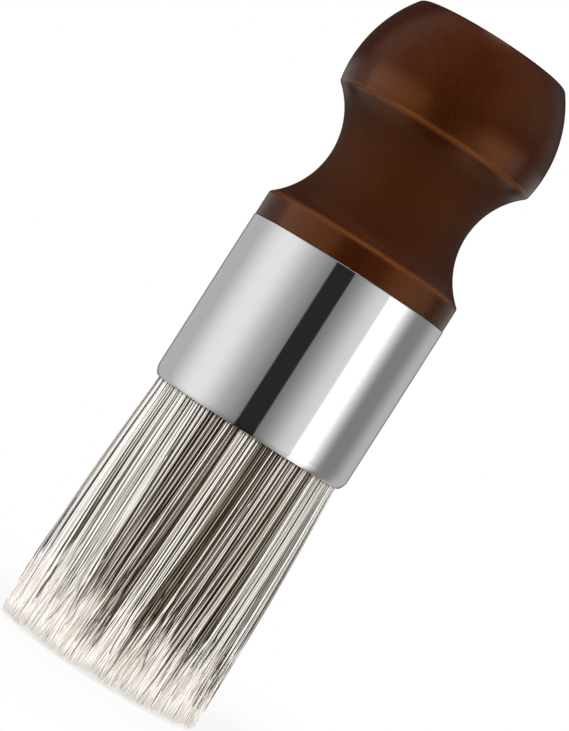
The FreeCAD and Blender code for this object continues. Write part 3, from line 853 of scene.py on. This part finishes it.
def white_card():
    """Matt white card for the floor: it shows as the white ground and keeps the shadow.

    Near the brush the camera sees 72% of its white as light of its own, and from 150 mm
    out all of it, where it can't be told from the ground. It lights matt surfaces with
    all of it.
    In polished metal the card shows as the studio's cards light it, darker near the
    brush. At r metres from the middle it shows what stands at its bearing times
    (1.03 - 0.00034 / r^2), so that a curled lip mirrors the bands straight on from the
    wall above it.
    """
    finish, tree = new_finish("matt_white_card")
    place = add_node(tree, "ShaderNodeTexCoord").outputs["Object"]
    away = add_node(tree, "ShaderNodeVectorMath", {"operation": "LENGTH"}, {
        0: place,
    }).outputs["Value"]
    own_white = add_node(tree, "ShaderNodeMapRange", {"interpolation_type": "SMOOTHSTEP"}, {
        "Value": away, "From Min": 40 * MM, "From Max": 150 * MM, "To Min": 0.72, "To Max": 1.0,
    }).outputs["Result"]
    rays = add_node(tree, "ShaderNodeLightPath").outputs
    share = add_node(tree, "ShaderNodeMath", {"operation": "MULTIPLY_ADD"}, {
        0: own_white, 1: seen_directly(tree, rays), 2: rays["Is Diffuse Ray"],
    }).outputs[0]
    card = add_node(tree, "ShaderNodeBsdfDiffuse", links={"Color": linear("#e6e6e6")})
    white = add_node(tree, "ShaderNodeEmission", links={"Strength": 1.0})
    plain = add_node(tree, "ShaderNodeMixShader", links={
        0: share, 1: card.outputs["BSDF"], 2: white.outputs["Emission"],
    }).outputs["Shader"]
    bearing, _ = bearing_and_elevation(tree, place)
    near = add_node(tree, "ShaderNodeMath", {"operation": "POWER"}, {0: away, 1: -2.0}).outputs[0]
    spread = add_node(tree, "ShaderNodeMath", {"operation": "MULTIPLY_ADD"}, {
        0: near, 1: -0.00034, 2: 1.03,
    }).outputs[0]
    row_bearing = add_node(tree, "ShaderNodeMath", {"operation": "MULTIPLY"}, {
        0: bearing, 1: spread,
    }).outputs[0]
    lit_by_cards = cards_round(tree, HORIZON_CARDS, BACK_LEVEL, row_bearing)
    out_of_shade = add_node(tree, "ShaderNodeMapRange", {"interpolation_type": "SMOOTHSTEP"}, {
        "Value": away, "From Min": 20 * MM, "From Max": 80 * MM, "To Min": 0.66, "To Max": 1.0,
    }).outputs["Result"]
    level = add_node(tree, "ShaderNodeMath", {"operation": "MULTIPLY"}, {
        0: lit_by_cards, 1: out_of_shade,
    }).outputs[0]
    mirrored = add_node(tree, "ShaderNodeEmission", links={"Strength": level}).outputs["Emission"]
    both = add_node(tree, "ShaderNodeMixShader", links={
        0: rays["Is Glossy Ray"], 1: plain, 2: mirrored,
    }).outputs["Shader"]
    add_node(tree, "ShaderNodeOutputMaterial", links={"Surface": both})
    return finish


# Studio

# What stands round the brush and shows in its gloss, later cards in front. Bearings and
# elevations are in degrees, each as (first, its soft edge, last, its soft edge), and then
# comes the card's level. The ferrule, seen from the side, mirrors only the narrow row of
# cards at the horizon, which spans the elevations of HORIZON_ROW.
HORIZON_CARDS = (
    ("tent", (-162, 14, 162, 14), None, 0.48),
    ("right softbox", (30, 46, 84, 20), None, 0.77),
    ("left softbox", (-101, 46, -52, 34), None, 0.88),
    ("front gap", (-26, 44, 19, 46), None, 0.16),
    ("strip light", (50, 3, 75, 12), None, 1.30),
    ("dark card", (87, 18, 124, 34), None, 0.23),
    ("black flag", (-15.7, 1.4, 6.3, 1.4), None, 0.022),
)
HORIZON_ROW = (-18, 2, 4, 2)

# What the turned grip mirrors above and below that row.
HIGH_AND_LOW_CARDS = (
    ("tent roof", (-190, 1, 190, 1), (18, 16, 100, 1), 0.48),
    ("roof shade", (-30, 40, 30, 40), (18, 16, 100, 1), 0.22),
    ("dark front", (-190, 1, 190, 1), (-60, 30, 14, 14), 0.05),
    ("low left strip", (-56, 24, -16, 16), (-30, 4, -18, 3), 3.0),
    ("low right strip", (16, 16, 56, 24), (-30, 4, -18, 3), 2.6),
    ("dark back on the right", (112, 44, 190, 1), None, 0.05),
    ("dark back on the left", (-190, 1, -106, 44), None, 0.05),
    ("high right card", (112, 24, 150, 24), (6, 12, 60, 20), 0.2),
    ("high left card", (-116, 28, -70, 36), (6, 12, 60, 20), 0.6),
    ("overhead lamp", (-190, 1, 190, 1), (80, 8, 100, 1), 3.0),
)

# The levels between the cards of the row and between the others, and the even light that
# the room gives to matt surfaces.
BACK_LEVEL = 0.18
SPACE_LEVEL = 0.2
PLAIN_LEVEL = 0.95


def bearing_and_elevation(tree, way):
    """The bearing and the elevation in degrees of a direction or place.

    They are the arctangent of X over -Y, and the arcsine of Z over the length.
    """
    unit = add_node(tree, "ShaderNodeVectorMath", {"operation": "NORMALIZE"}, {0: way})
    parts = add_node(tree, "ShaderNodeSeparateXYZ", links={
        "Vector": unit.outputs["Vector"],
    }).outputs
    ahead = add_node(tree, "ShaderNodeMath", {"operation": "MULTIPLY"}, {0: parts["Y"], 1: -1.0})
    turn = add_node(tree, "ShaderNodeMath", {"operation": "ARCTAN2"}, {
        0: parts["X"], 1: ahead.outputs[0],
    })
    lift = add_node(tree, "ShaderNodeMath", {"operation": "ARCSINE"}, {0: parts["Z"]})
    return [
        add_node(tree, "ShaderNodeMath", {"operation": "DEGREES"}, {0: angle.outputs[0]}).outputs[0]
        for angle in (turn, lift)
    ]


def within(tree, value, span):
    """1 inside a span and 0 outside, eased over the soft edges round its two limits."""
    first, first_edge, last, last_edge = span
    rise = add_node(tree, "ShaderNodeMapRange", {"interpolation_type": "SMOOTHSTEP"}, {
        "Value": value, "From Min": first - first_edge / 2, "From Max": first + first_edge / 2,
    }).outputs["Result"]
    fall = add_node(tree, "ShaderNodeMapRange", {"interpolation_type": "SMOOTHSTEP"}, {
        "Value": value, "From Min": last - last_edge / 2, "From Max": last + last_edge / 2,
        "To Min": 1.0, "To Max": 0.0,
    }).outputs["Result"]
    return add_node(tree, "ShaderNodeMath", {"operation": "MULTIPLY"}, {
        0: rise, 1: fall,
    }).outputs[0]


def cards_round(tree, cards, level, bearing, elevation=None):
    """The level that the cards give at a bearing and an elevation, over a level behind them."""
    for _, bearings, elevations, card_level in cards:
        mask = within(tree, bearing, bearings)
        if elevations and elevation:
            mask = add_node(tree, "ShaderNodeMath", {"operation": "MULTIPLY"}, {
                0: mask, 1: within(tree, elevation, elevations),
            }).outputs[0]
        level = add_node(tree, "ShaderNodeMix", {"data_type": "FLOAT"}, {
            "Factor": mask, "A": level, "B": card_level,
        }).outputs["Result"]
    return level


def studio_world():
    """White ground for the camera, a plain level for matt surfaces, and a studio for gloss."""
    world = bpy.data.worlds.new("white_studio")
    world.use_nodes = True
    tree = world.node_tree
    tree.nodes.clear()
    way = add_node(tree, "ShaderNodeTexCoord").outputs["Generated"]
    bearing, elevation = bearing_and_elevation(tree, way)
    gloss = add_node(tree, "ShaderNodeMix", {"data_type": "FLOAT"}, {
        "Factor": within(tree, elevation, HORIZON_ROW),
        "A": cards_round(tree, HIGH_AND_LOW_CARDS, SPACE_LEVEL, bearing, elevation),
        "B": cards_round(tree, HORIZON_CARDS, BACK_LEVEL, bearing),
    }).outputs["Result"]
    rays = add_node(tree, "ShaderNodeLightPath").outputs
    matt_or_gloss = add_node(tree, "ShaderNodeMix", {"data_type": "FLOAT"}, {
        "Factor": rays["Is Glossy Ray"], "A": PLAIN_LEVEL, "B": gloss,
    }).outputs["Result"]
    strength = add_node(tree, "ShaderNodeMix", {"data_type": "FLOAT"}, {
        "Factor": seen_directly(tree, rays), "A": matt_or_gloss, "B": 1.0,
    }).outputs["Result"]
    ground = add_node(tree, "ShaderNodeBackground", links={
        "Color": linear("#ffffff"), "Strength": strength,
    })
    add_node(tree, "ShaderNodeOutputWorld", links={"Surface": ground.outputs["Background"]})
    bpy.context.scene.world = world


# The lamps that light everything, as name, place in metres, side in metres and watts.
SOFT_LAMPS = (
    ("left_lamp", (-0.9, -0.9, 0.7), 0.7, 9.0),
    ("right_lamp", (0.9, -0.8, 0.5), 0.5, 5.0),
)
LAMPS_FACE = Vector((0, 0, 0.06))

# The lanterns that only light the grip, as name, bearing, width and height in metres and
# watts. They stand a metre away, and their middles are this high.
LANTERNS = (
    ("left_lantern", -62, 1.5, 0.36, 2.1),
    ("right_lantern", 68, 1.2, 0.36, 1.05),
)
LANTERN_LEVEL = 0.07


def area_lamp(name, shape, across, tall, power):
    """A lamp with a flat face, which the camera doesn't see."""
    data = bpy.data.lights.new(name, "AREA")
    data.shape, data.size, data.size_y, data.energy = shape, across, tall, power
    lamp = bpy.data.objects.new(name, data)
    lamp.visible_camera = False
    bpy.context.scene.collection.objects.link(lamp)
    return lamp


def soft_lamp(name, position, side, power):
    """A square lamp that faces the ferrule and stays out of mirror images."""
    lamp = area_lamp(name, "SQUARE", side, side, power)
    lamp.location = position
    towards = LAMPS_FACE - Vector(position)
    lamp.rotation_euler = towards.to_track_quat("-Z", "Y").to_euler()
    lamp.visible_glossy = False


def lantern(name, bearing, across, tall, power, lit_piece):
    """A wide lamp, level with the ferrule, that only adds a highlight to one piece."""
    lamp = area_lamp(name, "RECTANGLE", across, tall, power)
    turn = math.radians(bearing)
    lamp.location = (math.sin(turn), -math.cos(turn), LANTERN_LEVEL)
    lamp.rotation_euler = (math.pi / 2, 0, turn)
    lamp.visible_diffuse = False
    lit = bpy.data.collections.new(f"{name}_lights")
    lit.objects.link(lit_piece)
    lamp.light_linking.receiver_collection = lit


def floor_card():
    """The floor: a level disc of card, just under the tips.

    Its points stand on rings, the n-th at n steps of radius, round one in the middle.
    """
    reach, level, rings, around = 180, -0.02, 12, 96
    radius = np.linspace(0, reach, rings + 1)[1:, None]
    angle = np.arange(around) * 2 * math.pi / around
    height = np.full((rings, around), level)
    corners = np.stack((radius * np.cos(angle), radius * np.sin(angle), height), axis=-1)
    corners = np.concatenate((corners.reshape(-1, 3), [[0, 0, level]]))
    ring = np.arange(rings - 1)[:, None] * around
    outer_ring = ring + around
    here = np.arange(around)
    beyond = (here + 1) % around
    faces = np.stack((ring + here, outer_ring + here, outer_ring + beyond, ring + beyond), axis=-1)
    faces = faces.reshape(-1, 4).tolist()
    faces += np.column_stack((np.full(around, rings * around), here, beyond)).tolist()
    mesh = bpy.data.meshes.new("floor_card")
    mesh.from_pydata((corners * MM).tolist(), [], faces)
    mesh.materials.append(white_card())
    card = bpy.data.objects.new("floor_card", mesh)
    bpy.context.scene.collection.objects.link(card)


# Where the camera is, in metres, how far it is rolled, in degrees, and its lens and
# sensor in millimetres.
CAMERA_PLACE = (-0.00075, -0.540, 0.0606)
CAMERA_ROLL = 32.52
LENS, SENSOR = 156.0, 36.0


def camera_at_the_photograph():
    """The camera, level with the ferrule and rolled so that the brush leans to the right."""
    data = bpy.data.cameras.new("camera")
    data.sensor_width, data.lens = SENSOR, LENS
    data.clip_start, data.clip_end = 0.01, 10.0
    roll = math.radians(CAMERA_ROLL)
    right = Vector((math.cos(roll), 0, math.sin(roll)))
    up = Vector((-math.sin(roll), 0, math.cos(roll)))
    back = Vector((0, -1, 0))
    camera = bpy.data.objects.new("camera", data)
    camera.matrix_world = (
        Matrix.Translation(CAMERA_PLACE)
        @ Matrix((right, up, back)).transposed().to_4x4()
    )
    bpy.context.scene.collection.objects.link(camera)
    bpy.context.scene.camera = camera


# The brush

camera_at_the_photograph()

grip = turned("grip", grip_outline(), lacquered_stained_beech())
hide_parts("handle")

chrome = turned("bright_ferrule", ferrule_outline(), chrome_plated_steel())
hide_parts("ferrule")

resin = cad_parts["setting_resin"]
resin_finish = cast_resin()
for slot in resin.material_slots:
    slot.material = resin_finish

middle = turned("knot_middle", knot_middle_outline(), packed_bristle(), 192)
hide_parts("inner_filaments")

ends_finish = boar_bristle("boar_bristle_ends", "#241b15", "#f1ebe1")
ends = drawn_filaments("packed_ends", *packed_ends(), ends_finish)
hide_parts("inner_filaments")

flags_finish = boar_bristle("boar_bristle_flags", "#3a2e26", "#f6f1e9")
flags = drawn_filaments("flagged_tips", *flag_layer(), flags_finish)
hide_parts("inner_filaments")

# The outer filaments are sorted into three pieces by shade, each with its own colours.
outer = [np.concatenate(parts) for parts in zip(bristle_layers(), strays())]
outer_shade = outer[3]
for colour, lowest, highest, darkest, lightest in (
    ("brown", -1, 0.42, "#1d1207", "#f3ece3"),
    ("grey", 0.42, 0.66, "#1f140a", "#f7f2ec"),
    ("cream", 0.66, 2, "#221811", "#fcfaf6"),
):
    chosen = (outer_shade >= lowest) & (outer_shade < highest)
    piece = drawn_filaments(
        f"{colour}_bristle", *(values[chosen] for values in outer),
        boar_bristle(f"boar_bristle_{colour}", darkest, lightest),
    )
    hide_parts(f"{colour}_filaments")

floor_card()
studio_world()
for lamp in SOFT_LAMPS:
    soft_lamp(*lamp)
for lamp in LANTERNS:
    lantern(*lamp, grip)

bpy.context.scene.view_settings.view_transform = "Standard"
